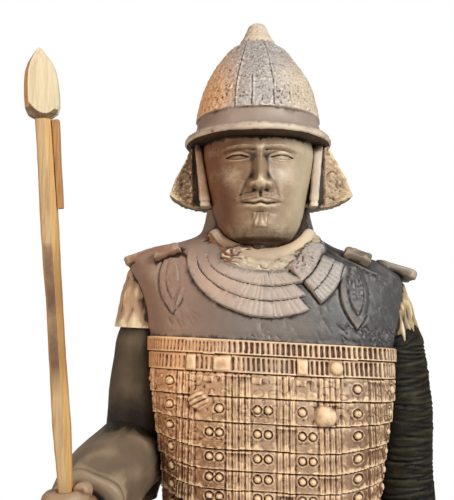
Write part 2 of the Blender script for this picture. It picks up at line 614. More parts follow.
def chest(u, z, p):
    """The plain chest above the cuirass, with everything that lies on it."""
    out = 0.8 * grain(p, 55, 1) + 0.25 * grain(p, 13, 2)
    out = out - 0.8 * hump(z - CUIRASS_Z - 5, 3.5)
    bark = step(u, 90, 104) * (1 - step(z, 1398, 1408))
    out = out + bark * 0.9 * grain(p, 8, 17)
    # Cuts: seed, how many, box, length, slant and its spread, width, depth.
    for seed, count, box, length, slant, wide, deep in [
        (3, 9, (-144, -98, 1392, 1424), 14, (-58, 12), 0.9, 1.1),
        (5, 9, (0, 100, 1385, 1440), 30, (-62, 8), 0.55, 0.6),
        (8, 9, (-26, 14, 1383, 1397), 9, (-48, 28), 0.9, 1.2),
        (9, 46, (100, 186, 1380, 1405), 11, (-62, 34), 1.1, 2.0),
        (10, 44, (122, 188, 1408, 1478), 8, (-76, 20), 0.7, 0.9),
    ]:
        out = out - deep * strokes(u, z, seed, count, box, length, slant, wide)
    neck, cover = gorget(u, z, p)
    out = out * (1 - cover) + neck + 0.25 * grain(p, 6, 6)
    # Wrinkled cloth fills the gap between the collar roll and the first row.
    dx, dz = u - GORGET_X, GORGET_Z - z
    inner = 1 / np.sqrt((dx / 66) ** 2 + (dz / 20) ** 2 + 1e-6)
    gap = step(inner, 0.92, 1.1) * (z > 1466) * (z < 1512) * pulse(dx, 62, 8)
    fold = np.abs(grain(p * [1, 1, 1.8], 10, 23))
    out = out + gap * (3.2 + 3.2 * step(fold, 0.05, 0.35) + 0.8 * grain(p, 4, 24))
    out = out - 2.6 * hump(inner - 1.03, 0.035) * (z < GORGET_Z) * pulse(dx, 52, 12)
    for x, top, bottom, half, worn in [(-138, 1490, 1408, 19, 0.8), (122, 1490, 1398, 21, 1)]:
        shape, line, cover = leaf(u, z, p, x, top, bottom, half, worn)
        out = out * (1 - cover) + shape + line
    # A raised sliver by the leaf, a hole in the shoulder, and the seam of the guard's front and back,
    # which shows only on the figure's left.
    sliver = u + 122 + 0.28 * (1450 - z) - 0.0035 * (z - 1430) ** 2
    hole = np.hypot(u + 94, 2 * (z - 1520))
    out = out + 2.2 * hump(sliver, 1.2) * pulse(z - 1427, 17, 5) - 2.6 * hump(hole, 3.5)
    seam = z - np.interp(u, [60, 63, 108, 146, 165], [1533, 1530, 1499, 1482, 1477])
    seam = 1.6 * hump(seam - 3.4, 1.8) - 2.6 * hump(seam, 1.3)
    return out + seam * step(u, 62, 66) * (1 - step(u, 156, 166))


def laid_out(table, angles, rows):
    """A body's plain skin, and across each row how far each point lies from the middle of the front."""
    plain = section(table, angles[None, :], rows[:, None])
    steps = np.linalg.norm(np.diff(plain, axis=1), axis=-1)
    straight = np.abs(np.diff(plain[..., 0], axis=1))
    run = np.where(straight / np.maximum(steps, 1e-6) > 0.72, straight, steps)
    run = np.concatenate([np.zeros((len(rows), 1)), np.cumsum(run, 1)], 1)
    behind = run - run[:, -1:] - 4
    across = np.where(angles[None, :] <= math.pi, run, behind) + along(table, 5, rows)[:, None]
    return plain, across, np.broadcast_to(rows[:, None], across.shape)


plain, across, level = laid_out(
    TORSO,
    columns(TORSO, 1300, 1.15, 4.2, 235),
    heights((1092, 1172, 3.2), (1172, 1508, 1.1), (1508, 1575, 2.5)),
)
on_chest = level > CUIRASS_Z
from_middle = np.hypot((across - GORGET_X) / 66, (level - GORGET_Z) / np.where(level < GORGET_Z, 20, 40))
lift = np.where(on_chest, chest(across, level, plain), cuirass(across, level, plain))
lift = np.where(level < BELT_Z + 1, 0, lift) + 0.18 * grain(plain, 3.2, 19)
# The throat above the rolled hem is smoked, and below the hem wrinkled cloth shows.
ring_z = 1557 - 58 * np.sqrt(np.clip(1 - ((across - HEAD_X - 5) / 74) ** 2, 0, 1))
in_throat = (level > ring_z) & (np.abs(across - HEAD_X - 5) < 71) & (plain[..., 1] < 0)
in_scarf = (from_middle < 1) & (gorget(across, level, plain)[1] < 0.5) & (level < 1522)
tilted = leaning(plain)
clay_form(
    "torso",
    tilted + outwards(tilted) * lift[..., None],
    [chest_clay, cuirass_clay, scarf_clay, under_clay],
    np.where(on_chest, np.where(in_throat, 3, np.where(in_scarf, 2, 0)), 1),
)


# ------------------------------------------------------------------------------------------------
# The warrior, belt and skirt of the cuirass: the same clay, laid on in overlapping bands below a
# belt tied in front. It is plainer than the cuirass above.

HIPS = [
    (600, 224, 166, 164, 2.2),
    (640, 222, 164, 162, 2.2),
    (800, 207, 152, 149, 2.3),
    (930, 200, 146, 141, 2.4),
    (1010, 186, 134, 128, 2.5),
    (1100, 159, 112, 108, 2.6),
    (1140, 154, 109, 105, 2.6),
]
HIPS = np.array(HIPS, float)
HIPS = np.column_stack([HIPS, np.full(len(HIPS), CHEST_X * 0.6), np.full(len(HIPS), 5.0)])
SKIRT_HEIGHTS = [42, 42, 43, 43]


def skirt(u, z, p):
    """How far the cuirass's skirt and the wound belt stand off the hips."""
    out = np.full(u.shape, 8.0)
    top = BELT_Z - BELT_HIGH
    for k, high in enumerate(SKIRT_HEIGHTS):
        t = (top - z) / high
        a = np.mod(u + 43 + 32, 64) - 32
        slats = 2.4 * pulse(np.mod(a + 12, 8) - 4, 2.0, 1.6) * pulse(a, 11.5, 1)
        row = 3 + 5 * t + slats - 1.4 * hump(np.abs(a) - 13.5, 1.6)
        b = np.mod(u + 11 + 32, 64) - 32
        row = row + stud(b, z, -7.5, top - 0.42 * high, 5) + stud(b, z, 7.5, top - 0.42 * high, 5)
        row = row - 1.8 * hump(t * high - 1, 1.8) * (k > 0) + 0.5 * grain(p, 9, 7)
        out = np.where((t >= 0) & (t <= 1.001), row, out)
        top -= high
    wound = z - (BELT_Z - BELT_HIGH)
    belt = 11.5 - 2.0 * hump(wound - BELT_HIGH / 2, 1.6) - 3 * (hump(wound, 2) + hump(wound - BELT_HIGH, 2.2))
    belt = belt + 0.8 * np.sin((u + wound) * 0.9) * hump(wound - 7, 5)
    belt = belt + 0.8 * np.sin((u - wound) * 0.9) * hump(wound - 21, 5)
    return np.where(wound > 0, np.where(wound < BELT_HIGH, belt, 0), out)


plain, across, level = laid_out(HIPS, columns(HIPS, 1000, 2.6, 5.5, 230), heights((930, 1140, 2.6)))
tilted = leaning(plain)
lift = skirt(across, level, plain)
clay_form("skirt", tilted + outwards(tilted) * lift[..., None], [cuirass_clay])


def front_place(x, z, out=0):
    """A point of the torso's front at x and z, and the direction straight out of it."""
    angle = np.linspace(-1.5, 1.5, 6001)
    row = section(TORSO, angle, np.full(angle.shape, float(z)))
    k = int(np.argmin(np.abs(row[:, 0] - x)))
    here = leaning(row[k])
    side = leaning(row[k + 8]) - leaning(row[k - 8])
    up = leaning(section(TORSO, angle[k], z + 4.0)) - leaning(section(TORSO, angle[k], z - 4.0))
    normal = np.cross(side, up)
    normal /= np.linalg.norm(normal)
    return here + normal * out, normal


def rough_block(name, size, centre, outward, upward, material, square=0.3, rough=1.0, seed=0, fine=1.6):
    """A rounded block of clay patted on by hand: its sizes run sideways, up and outwards."""
    outward = np.asarray(outward, float) / np.linalg.norm(outward)
    side = np.cross(upward, outward)
    side /= np.linalg.norm(side)
    rise = np.cross(outward, side)
    count = max(24, int(2 * (size[0] + size[2]) / fine))
    rows = max(12, int((size[1] + 20) / fine))
    turn = np.linspace(0, 2 * math.pi, count, endpoint=False) + 0.01
    tilt = np.linspace(-math.pi / 2, math.pi / 2, rows + 2)[1:-1]
    bend = lambda v, e: np.sign(v) * np.abs(v) ** e
    c = bend(np.cos(tilt), square)[:, None]
    x = c * bend(np.sin(turn), square)[None, :] * size[0] / 2
    y = c * bend(-np.cos(turn), square)[None, :] * size[2] / 2
    z = bend(np.sin(tilt), square)[:, None] * size[1] / 2 * np.ones((1, count))
    p = centre + x[..., None] * side - y[..., None] * outward + z[..., None] * rise
    away = p - centre
    away /= np.linalg.norm(away, axis=-1, keepdims=True)
    p = p + away * (rough * (grain(p, 9, seed) + 0.6 * grain(p, 4, seed + 1)))[..., None]
    clay_form(name, p, [material])


rough_block(
    "belt knot", (44, 28, 26), np.array([2.8, -118, 1113]), (0, -1, 0), (0, 0, 1), cuirass_clay, 0.45, 1.2, 51, 3
)


# ------------------------------------------------------------------------------------------------
# The warrior, robe, trousers and shoes: plain clay under the armour, folded by hand, the legs
# bagging over tied boot tops and the shoes square-toed.

HEM_Z, SKIRT_Z, SOLE_Z = 640, 930, 90.3
robe_clay = fired_clay("fired clay, robe", "#2e251e", "#6b5444", "#64564a", "#5b5450", "#8a7866", 0.5, 3.0)

angle = np.linspace(0, 2 * math.pi, 240, endpoint=False)
rows = heights((HEM_Z, SKIRT_Z + 12, 7))
plain = section(HIPS, angle[None, :], rows[:, None])
deep = 9 * step(SKIRT_Z + 20 - rows, 0, SKIRT_Z - HEM_Z)[:, None]
fold = deep * np.cos(12 * angle[None, :] + 0.35 * grain(plain, 90, 3)) - 2 + 1.3 * grain(plain, 30, 5)
fold = fold - 3 * hump(rows - HEM_Z, 4)[:, None] - 1.6 * hump(rows - HEM_Z - 26, 3)[:, None]
clay_form("robe", plain + outwards(plain) * fold[..., None], [robe_clay])


def swept(marks, rings, sides, across=(1, 0, 0), flat=None):
    """A limb's skin along a smooth path through marks of x, y, z and radius, the distance run along
    it, and the angle round it, which is 0 on the side of across."""
    marks = np.array(marks, float)
    t = np.linspace(0, len(marks) - 1, rings)
    i = np.minimum(t.astype(int), len(marks) - 2)
    f = (t - i)[:, None]
    at = lambda k: marks[np.clip(k, 0, len(marks) - 1)]
    p0, p1, p2, p3 = [at(i + k) for k in (-1, 0, 1, 2)]
    p0 = np.where((i == 0)[:, None], 2 * p1 - p2, p0)
    p3 = np.where((i == len(marks) - 2)[:, None], 2 * p2 - p1, p3)
    path = 0.5 * (
        2 * p1 + (p2 - p0) * f + (2 * p0 - 5 * p1 + 4 * p2 - p3) * f**2 + (3 * p1 - p0 - 3 * p2 + p3) * f**3
    )
    g = f * f * (3 - 2 * f)
    radius = p1[:, 3] + (p2[:, 3] - p1[:, 3]) * g[:, 0]
    flatness = np.ones(rings) if marks.shape[1] < 5 else p1[:, 4] + (p2[:, 4] - p1[:, 4]) * g[:, 0]
    centre = path[:, :3]
    ahead = np.gradient(centre, axis=0)
    ahead /= np.linalg.norm(ahead, axis=1, keepdims=True)
    out = np.cross(ahead, np.asarray(across, float))
    out /= np.linalg.norm(out, axis=1, keepdims=True)
    side = np.cross(out, ahead)
    turn = np.linspace(0, 2 * math.pi, sides, endpoint=False)
    skin = (
        centre[:, None]
        + side[:, None] * (radius[:, None] * np.cos(turn))[..., None]
        + out[:, None] * ((radius * flatness)[:, None] * np.sin(turn))[..., None]
    )
    run = np.concatenate([[0], np.cumsum(np.linalg.norm(np.diff(centre, axis=0), axis=1))])
    return skin, run[:, None] + 0 * turn[None, :], turn[None, :] + 0 * run[:, None]


def pushed(skin, lift):
    """Moves each point of a swept skin straight away from its ring's middle."""
    centre = skin.mean(1, keepdims=True)
    away = skin - centre
    return skin + away / np.linalg.norm(away, axis=-1, keepdims=True) * np.asarray(lift)[..., None]


LEG = [  # height, radius, y
    (670, 74, 6), (520, 82, 2), (470, 59, 6), (452, 68, 7), (434, 60, 8), (330, 62, 16), (220, 50, 18),
    (108, 46, 14),
]
SHOE = [  # y, half width, height
    (82, 28, 58), (70, 42, 80), (-20, 49, 88), (-85, 52, 56), (-135, 51, 44), (-158, 38, 42)
]
for side in (-1, 1):
    skin, run, turn = swept([(side * 94, y, z, r) for z, r, y in LEG], 70, 48)
    bag = 2.2 * np.sin(run / 13 + 2.2 * np.sin(turn + side)) * step(run, 30, 110) * (1 - step(run, 175, 195))
    tie = -2.5 * hump(run - 222, 3) + 1.6 * np.sin(run / 9 + turn) * step(run, 230, 260) * 0.4
    clay_form("leg", pushed(skin, bag + tie + 0.6 * grain(skin, 12, 8)), [robe_clay])
    spans = np.linspace(0, len(SHOE) - 1, 44)
    y, half, high = [np.interp(spans, range(len(SHOE)), [row[k] for row in SHOE]) for k in range(3)]
    for values in (half, high):  # eased, so the upper has no corners where its sections change
        values[2:-2] = (values[:-4] + values[1:-3] + values[2:-2] + values[3:-1] + values[4:]) / 5
    turn = np.linspace(0, 2 * math.pi, 56, endpoint=False)
    s, c = [np.sign(v) * np.abs(v) ** 0.7 for v in (np.sin(turn), np.cos(turn))]
    x = half[:, None] * c
    z = high[:, None] / 2 - 2 + (high[:, None] / 2 + 2) * s
    x = x + np.sign(x) * 2.5 * step(12 - z, 0, 2)  # the sole stands out below the upper
    turned = side * 0.12
    y = y[:, None] + 0 * x
    shoe = np.stack(
        [
            x * math.cos(turned) - y * math.sin(turned) + side * 96,
            x * math.sin(turned) + y * math.cos(turned),
            z + SOLE_Z,
        ],
        -1,
    )
    clay_form("shoe", shoe, [robe_clay])


# ------------------------------------------------------------------------------------------------
# The warrior, arms and shoulders: the sleeves are clay tubes, smooth on the right arm and closely
# creased on the left one. A rough cap, a fluted lappet and a toggle are laid on each shoulder.

# The sleeves are smoked dark and dull, and the lappets and caps on them are rubbed golden.
sleeve_clay = fired_clay(
    "fired clay, right sleeve", "#241b12", "#413424", "#413424", "#413424", "#6b5c48", 0.46, 3.0
)
cuff_clay = fired_clay(
    "fired clay, right forearm", "#2c2116", "#6d5e4e", "#74624f", "#74624f", "#93826b", 0.42, 3.0
)
dark_sleeve_clay = fired_clay(
    "fired clay, smoked left sleeve", "#030302", "#0d0b07", "#0d0b07", "#0d0b07", "#3f3a2a", 0.55, 3.0,
    ends=(1.17, 1.36, "#080604", 0.85, 1.0), sheen=0.22,
)
lappet_clay = fired_clay(
    "fired clay, lappets", "#2b1a0c", "#b3967c", "#a08766", "#9c8862", "#e6d6b4", 0.44, 2.4, gain=1.3
)
cap_clay = fired_clay(
    "fired clay, shoulder caps", "#2b1d12", "#8a6650", "#73665b", "#6b6558", "#ab9985", 0.44, 2.4
)


def creases(run, turn, seed, count, span, depth):
    """Narrow folds that run part of the way round a sleeve."""
    rng = np.random.default_rng(seed)
    total = np.zeros(run.shape)
    for k in range(count):
        at = span[0] + (span[1] - span[0]) * (k + rng.uniform(-0.6, 0.6)) / count
        middle, half = rng.uniform(0.5, 1.9), rng.uniform(0.5, 1.2)
        a = np.mod(turn - middle + math.pi, 2 * math.pi) - math.pi
        d = run - at - rng.normal(0, 4) * a + rng.uniform(1, 6) * a * a
        cut = hump(d, rng.uniform(1.1, 1.8)) - 0.6 * hump(d - 3.2, 1.6)
        total += rng.uniform(0.5, 1) * cut * pulse(a, half * 0.7, half * 0.5)
    return -depth * np.clip(total, -1, 1.3)


# Marks along a limb: x, y, z and radius.
LEFT_ARM = [
    (178, 6, 1465, 28), (184, 8, 1412, 33), (189, 8, 1388, 38), (194, 8, 1366, 45), (202, 16, 1270, 48),
    (204, 24, 1165, 47), (212, 10, 1050, 43), (220, -16, 948, 40),
]
skin, run, turn = swept(LEFT_ARM, 300, 120)
folds = creases(run, turn, 21, 74, (80, 500), 1.7) + 1.2 * grain(skin, 26, 4) + 0.25 * grain(skin, 5, 4)
tucks = sum(hump(run - 92 - 5.5 * k - 6 * np.cos(turn - 0.3), 1.2) for k in range(4))
folds = folds - 1.6 * tucks * pulse(turn - 1.2, 1.4, 0.4)
clay_form("left arm", pushed(skin, folds), [dark_sleeve_clay])

RIGHT_ARM = [
    (-172, 6, 1470, 32), (-178, 8, 1410, 36), (-181, 8, 1370, 42.5), (-188, 16, 1290, 47), (-195, 34, 1200, 48),
    (-200, 40, 1150, 38),
]
skin, run, turn = swept(RIGHT_ARM, 110, 80)
folds = 1.6 * grain(skin * [1, 1, 0.5], 34, 6) + 0.3 * grain(skin, 8, 2)
clay_form("right upper arm", pushed(skin, folds), [sleeve_clay])

RIGHT_CUFF = [(-192, 60, 1206, 36), (-202, 14, 1211, 57), (-224, -80, 1188, 57), (-238, -166, 1163, 50)]
skin, run, turn = swept(RIGHT_CUFF, 90, 96)
folds = 2.4 * np.sin(turn * 5 + 2.5 * grain(skin, 60, 2)) * step(run, 60, 200) + 1.6 * grain(skin, 40, 9)
folds = folds - 1.8 * hump(run - run.max() + 12, 2) - 3 * hump(run - run.max(), 2)
clay_form("right lower arm", pushed(skin, folds), [cuff_clay])

for side in (-1, 1):
    drop = LEAN * side * 200
    marks = [(180, 6, 1488, 22), (181, 6, 1464, 29), (183, 7, 1430, 37.5), (185, 8, 1388, 43)]
    skin, run, turn = swept([(side * x + 3, y, z - drop, r) for x, y, z, r in marks], 64, 150)
    bark = grain(skin * [1, 1, 0.16], 5.5, 31 + side) + 0.5 * grain(skin * [1, 1, 0.3], 2.8, 33)
    flutes = (1.9 if side > 0 else 1.1) * np.sin(turn * 11 + 1.2 * grain(skin, 30, 7)) * step(run, 12, 45)
    lift = flutes + bark * (2.2 if side > 0 else 1.0) + 1.2 * grain(skin, 14, 36)
    splits = hump(np.abs(grain(skin * [1, 1, 0.1], 12, 37)), 0.12) * step(run, 20, 50)
    lift = lift - (1.0 if side > 0 else 0.3) * 2.4 * splits
    clay_form("lappet", pushed(skin, lift), [lappet_clay])
    lean = side * 0.3
    rough_block(
        "shoulder cap", (64, 15, 86), np.array([CHEST_X + side * 186, 6, 1494 - drop]), (0, -1, 0),
        (math.sin(lean), 0, math.cos(lean)), cap_clay, 0.34, 1.5, 60 + side, 2.2,
    )
    x, z, high = (-142, 1495, 15) if side < 0 else (130, 1502, 20)
    place, normal = front_place(x, z)
    rough_block(
        "toggle", (39, high, 27), place, normal, (side * 0.34, 0, 1), cap_clay, 0.32, 1.5, 70 + side, 1.3
    )


# ------------------------------------------------------------------------------------------------
# The warrior, hands: modelled solid. The right hand closes round the spear's shaft, and the left
# one is half closed beside the thigh.

hand_clay = fired_clay("fired clay, hands", "#2f231a", "#7b5c45", "#735a47", "#6d5644", "#a58d73", 0.42, 3.0)
BUTT, GRIP = np.array([-171, -180, 90.3]), np.array([-246, -244, 1165.0])
up_spear = (GRIP - BUTT) / np.linalg.norm(GRIP - BUTT)
ahead_spear = np.array([0, -1.0, 0])
ahead_spear -= up_spear * ahead_spear.dot(up_spear)
ahead_spear /= np.linalg.norm(ahead_spear)
aside_spear = np.cross(up_spear, ahead_spear)


def on_shaft(z):
    """The shaft's middle at height z."""
    return BUTT + up_spear * (z - BUTT[2]) / up_spear[2]

def round_shaft(z, degrees, radius):
    """A point beside the shaft's middle at height z: 0 degrees is in front of it."""
    a = math.radians(degrees)
    return on_shaft(z) + ahead_spear * radius * math.cos(a) + aside_spear * radius * math.sin(a)


def finger(name, places, radii, across):
    """A finger through its places, swelling at the joints and round at the tip."""
    skin, run, turn = swept([(*place, r) for place, r in zip(places, radii)], 40, 20, across)
    share = run / run.max()
    joints = 0.9 * (hump(share - 0.32, 0.06) + hump(share - 0.68, 0.06))
    tip = 1 - np.sqrt(np.clip(1 - ((share - 0.94) / 0.06) ** 2, 0.02, 1))
    ends = -0.75 * np.array(radii).mean() * tip * (share > 0.94)
    clay_form(name, pushed(skin, joints + ends), [hand_clay])


for k in range(4):
    z = GRIP[2] - 2 + 29 - 19.5 * k
    places = [round_shaft(z - 1.5 * k * (j / 5), -110 + 46 * j, 19.6) for j in range(6)]
    finger("right finger", places, [10.6, 10.4, 10.2, 10, 9.6, 8.6], up_spear)
places = [round_shaft(GRIP[2] + 28 + 3 * i, -165 - 45 * i, 20.8) for i in range(4)]
finger("right thumb", places, [12, 11.5, 10.5, 8.5], up_spear)
PALM = [  # x, y, z, radius and flatness
    (-237, -150, 1161, 25, 1), (-244, -196, 1162, 28, 1.1), (-258, -227, 1164, 37, 0.6),
    (-265, -254, 1165, 36, 0.42), (-261, -269, 1165, 24, 0.3),
]
skin, run, turn = swept(PALM, 40, 48, (0, 0, 1))
clay_form("right palm", pushed(skin, 0.6 * grain(skin, 12, 3)), [hand_clay])

WRIST = np.array([221, -22, 930])
palm = [
    (0, 3, 40, 26, 0.9), (0, 0, 0, 27, 0.8), (4, -6, -32, 38, 0.58), (0, -8, -70, 41, 0.56), (-4, -8, -96, 37, 0.5)
]
skin, run, turn = swept([(*(WRIST + place[:3]), *place[3:]) for place in palm], 50, 48, (0, 1, 0))
clay_form("left palm", pushed(skin, 0.6 * grain(skin, 12, 4)), [hand_clay])
for k in range(4):
    y = -8 + 30 - 20 * k
    curl = [(8, -62), (11, -92), (0, -109), (-17, -107), (-23, -90)]
    finger("left finger", [WRIST + (x, y, z) for x, z in curl], [9.8, 10.4, 10.2, 9.8, 8.8], (0, 1, 0))
places = [WRIST + place for place in [(0, -28, -20), (-6, -44, -48), (-16, -44, -78), (-22, -40, -94)]]
finger("left thumb", places, [13, 12.4, 11, 9], (1, 0, 0))


# ------------------------------------------------------------------------------------------------
# The warrior, head and neck: the head was built up by hand on the neck and smoothed, with a thin
# moustache and a small tuft on the chin. The face is calm and plainly proportioned.

face_clay = fired_clay(
    "fired clay, smoothed face", "#28170a", "#744a2f", "#927c65", "#b3a48b", "#d6c6ab", 0.32, 2.6,
    turns=(-0.075, -0.005, 0.0, 0.06), pitted=0.25, gain=1.2, ends=(1.522, 1.558, "#33200d", 0.94, 1.0),
)
SKULL = [
    (-30, 66, 60, 76, 2),
    (-10, 65, 66, 77, 2),
    (-3, 60, 80, 78, 2),
    (8, 62, 88, 79, 2),
    (26, 66, 89, 80, 2.05),
    (46, 70, 91, 82, 2.1),
    (62, 73, 91, 84, 2.15),
    (85, 78, 89, 86, 2.25),
    (108, 82, 88, 88, 2.3),
    (125, 84, 92, 88, 2.3),
    (170, 84, 92, 88, 2.2),
]
SKULL = np.array(SKULL, float) + [CHIN_Z, 0, 0, 0, 0]
SKULL = np.column_stack([SKULL, np.full(len(SKULL), HEAD_X), np.full(len(SKULL), HEAD_Y)])
EYE_Z, NOSE_Z, MOUTH_Z = CHIN_Z + 109, CHIN_Z + 63, CHIN_Z + 42


def face(x, z):
    """How far the features stand out of the skull, x being measured from the middle of the face."""
    away = np.abs(x)
    tip = np.interp(z, NOSE_Z + np.array([-6, -3, 1, 6, 14, 30, 46, 58, 66]), [0, 5, 20, 24, 21, 14, 8, 4.5, 2])
    across = np.interp(z, NOSE_Z + np.array([-6, 6, 20, 46, 66]), [12, 11.5, 8.5, 7.5, 9])
    nose = tip * np.exp(-((away / across) ** 2.6))
    wings = 9.5 * hump(away - 13.5, 5.2) * hump(z - NOSE_Z - 5, 6.5)
    nostrils = -5.5 * hump(away - 8.5, 3.4) * hump(z - NOSE_Z + 1.5, 3.0)
    crease = -1.5 * hump(away - 21 - 0.35 * (NOSE_Z + 8 - z), 1.8) * pulse(z - NOSE_Z + 2, 10, 7)
    arch = BROW_Z - 3 - 0.0042 * (away - 24) ** 2
    hairy = pulse(away - 32, 20, 5)
    brow = 4.6 * hump(z - arch - 1, 7.5) * hump(away - 30, 25) + 1.0 * pulse(z - arch - 1, 2.2, 1.2) * hairy
    brow = brow - 2.2 * hump(z - arch + 2.6, 1.5) * pulse(away - 30, 21, 6)
    brow = brow - 0.5 * hump(np.sin((away - 0.7 * z) * 1.9), 0.35) * pulse(z - arch - 1, 3, 1) * hairy
    socket = -9.5 * hump(away - 32, 21) * hump(z - EYE_Z - 1, 11)
    lids = 7.6 * hump(away - 32.5, 15.5) * hump(z - EYE_Z, 8.5)
    a = (away - 32) / 15.5
    upper = EYE_Z + 0.6 + 3.4 * np.clip(1 - a * a, -0.6, 1)
    lower = EYE_Z - 0.8 - 3.0 * np.clip(1 - a * a, -0.6, 1)
    span = pulse(a, 1.0, 0.16)
    opening = step(upper - z, -0.3, 0.6) * step(z - lower, -0.3, 0.6) * span
    ball = opening * hump(a + 0.05, 0.42) * hump(z - EYE_Z, 2.6)
    lids = lids - 2.6 * opening + 1.2 * ball - 1.8 * hump(z - upper + 0.5, 0.9) * span
    lids = lids + (1.1 * hump(z - upper - 0.8, 1.2) + 0.7 * hump(z - lower + 0.8, 1.1)) * span
    lids = lids - 1.7 * hump(z - upper - 4.8, 1.2) * pulse(a, 1.1, 0.3)
    lids = lids - 0.7 * hump(z - lower + 4.5, 1.5) * pulse(a, 0.8, 0.3)
    cheek = 4.2 * hump(away - 42, 20) * hump(z - NOSE_Z - 14, 18)
    line = MOUTH_Z + 1.2 * hump(away, 6) - 1.0 * hump(away - 9, 6) + 0.0016 * away**2
    wide = pulse(away, 20, 7)
    top_lip = 4.8 * hump(z - line - 4.2, 3.8) * hump(away, 22)
    low_lip = 5.8 * hump(z - line + 5.0, 4.6) * hump(away, 19)
    mouth = -4.2 * hump(z - line, 1.25) * wide - 1.6 * hump(away - 26, 3) * hump(z - line, 4)
    groove = -1.3 * hump(away, 2.2) * pulse(z - MOUTH_Z - 14, 4, 3)
    under = -2.6 * hump(z - MOUTH_Z + 15, 5) * hump(away, 20)
    chin = 8.2 * hump(away, 20) * hump(z - CHIN_Z - 12, 13)
    whisker = MOUTH_Z + 12.5 - 0.13 * away - 0.0022 * away**2
    hair = pulse(z - whisker, 3.2, 1.6) * step(away, 1.2, 3.5) * (1 - step(away, 33, 40))
    strands = 0.6 * np.sin((z - 0.45 * away) * 2.5 + 0.4 * np.sin(away))
    moustache = hair * (2.6 + strands) * (1 - 0.45 * step(away, 15, 38))
    tuft = pulse(away, 9 - 0.12 * (MOUTH_Z - 16 - z), 2.5) * pulse(z - MOUTH_Z + 24, 9, 2.5)
    beard = tuft * (1.8 + 0.8 * np.sin(x * 2.1 + 0.05 * (z - MOUTH_Z) * x))
    return (
        nose + wings + nostrils + crease + brow + socket + lids + cheek
        + top_lip + low_lip + mouth + groove + under + chin + moustache + beard
    )


plain, _, level = laid_out(
    SKULL,
    columns(SKULL, CHIN_Z + 60, 1.0, 7, 118),
    heights((1500, 1518, 3), (1518, 1678, 0.95), (1678, 1692, 6)),
)
lift = face(plain[..., 0] - HEAD_X, level)
facing = (HEAD_Y - plain[..., 1]) / np.hypot(plain[..., 0] - HEAD_X, plain[..., 1] - HEAD_Y)
skin = plain.copy()
skin[..., 1] -= lift * np.clip(facing, 0, 1)
skin = skin + outwards(plain) * (0.35 * grain(plain, 16, 2) + 0.12 * grain(plain, 3, 4))[..., None]
in_shade = skin[..., 2] > BRIM_Z - 9.5 + 1.2 * grain(skin, 9, 5)  # smoked under the brim
clay_form("head", skin, [face_clay, under_clay], in_shade.astype(int))

# Two rolls come round the throat from behind the jaw, low in front: the hem of the robe, rolled
# smooth, and under it a scarf with crumpled folds.
turn = np.linspace(0, 2 * math.pi, 300, endpoint=False)[:, None]
tube = np.linspace(0, 2 * math.pi, 30, endpoint=False)[None, :]
for wide, deep, middle_z, thick, clay in [(74, 58, 1557, 7.2, collar_clay), (80, 64, 1547, 9.5, scarf_clay)]:
    folded = clay == scarf_clay
    roll = thick + 0.5 * np.sin(5 * turn + 2) * np.cos(tube)
    out, rise = -roll * np.cos(tube), 1.15 * roll * np.sin(tube)
    y = -(deep + out) * np.cos(turn)
    # It drops as far as it comes forward, and lies level where it is sunk in the neck.
    z = middle_z + np.minimum(y, -23) + rise
    ring = np.stack([HEAD_X + 5 + (wide + out) * np.sin(turn), HEAD_Y - 14 + y, z], -1)
    crumple = grain(ring * [0.45, 0.45, 1], 5.5, 12) + 0.5 * grain(ring * [0.5, 0.5, 1], 3.4, 13)
    holes = hump(np.abs(grain(ring * [0.5, 0.5, 1], 9, 14)), 0.16)
    lift = 0.4 * grain(ring, 14, 12) + folded * (1.7 * crumple - 2.4 * holes)
    clay_form("collar roll", ring + outwards(ring) * lift[..., None], [clay], loop=True)


# ------------------------------------------------------------------------------------------------
# The warrior, helmet: a bowl of clay plates, pitted all over with a point, with a knob on top, a
# smooth band and a flaring brim. The neck guard hangs behind from ear to ear, and a strap of clay
# comes down before each ear.

# The bowl is matt and pitted, the knob rubbed pale, and the band and brim are smoothed to a satin.
helmet_clay = fired_clay(
    "fired clay, pitted helmet", "#5e4636", "#efbb8a", "#a09c9c", "#bfb29b", "#e9dfcf", 0.44, 3.2,
    turns=(-0.09, -0.025, 0.0, 0.06), pitted=1.5,
)
knob_clay = fired_clay(
    "fired clay, rubbed knob", "#6b5140", "#c9b79f", "#c4b6a4", "#cfc0a6", "#ece2d0", 0.44, 3.0, pitted=1.2
)
band_clay = fired_clay(
    "fired clay, smoothed brim", "#35220f", "#9a8271", "#96887e", "#a09080", "#d8c9b4", 0.42, 3.0
)
guard_clay = fired_clay(
    "fired clay, rough neck guard", "#24160a", "#735a43", "#8a6f52", "#ad9478", "#e0caa4", 0.44, 2.8,
    turns=(-0.09, -0.02, 0.0, 0.06), pitted=1.1,
)
strap_clay = fired_clay(
    "fired clay, cheek straps", "#4a3624", "#a8896c", "#a8937d", "#c0b09f", "#dccdb8", 0.44, 2.6,
    turns=(-0.07, 0.0, 0.0, 0.06), pitted=0.5,
)
HELMET_DEPTH = 1.12  # as a share of its width
B, C = BRIM_Z, CROWN_Z
# The helmet's profile from under the brim to the crown: radius and height.
UNDER = [(4, B - 3), (84, B - 8), (101, B - 7), (108.5, B - 5)]
EDGE = [
    (110.8, B - 3), (111.2, B + 1.5), (109.6, B + 4.6), (104, B + 7.2), (98, B + 10.5), (94.8, B + 16),
    (93, B + 22), (92, B + 31.5),
]
BOWL = [
    (93.9, B + 33.5), (93.0, B + 42), (90.3, B + 52), (85.8, B + 73), (77.8, B + 92), (65.8, B + 114),
    (45.5, B + 141), (27, C - 36),
]
KNOB = [(26.5, C - 33.5), (26.5, C - 30), (21.5, C - 24), (17.2, C - 14), (14, C - 6), (9, C - 1.5), (1.2, C)]


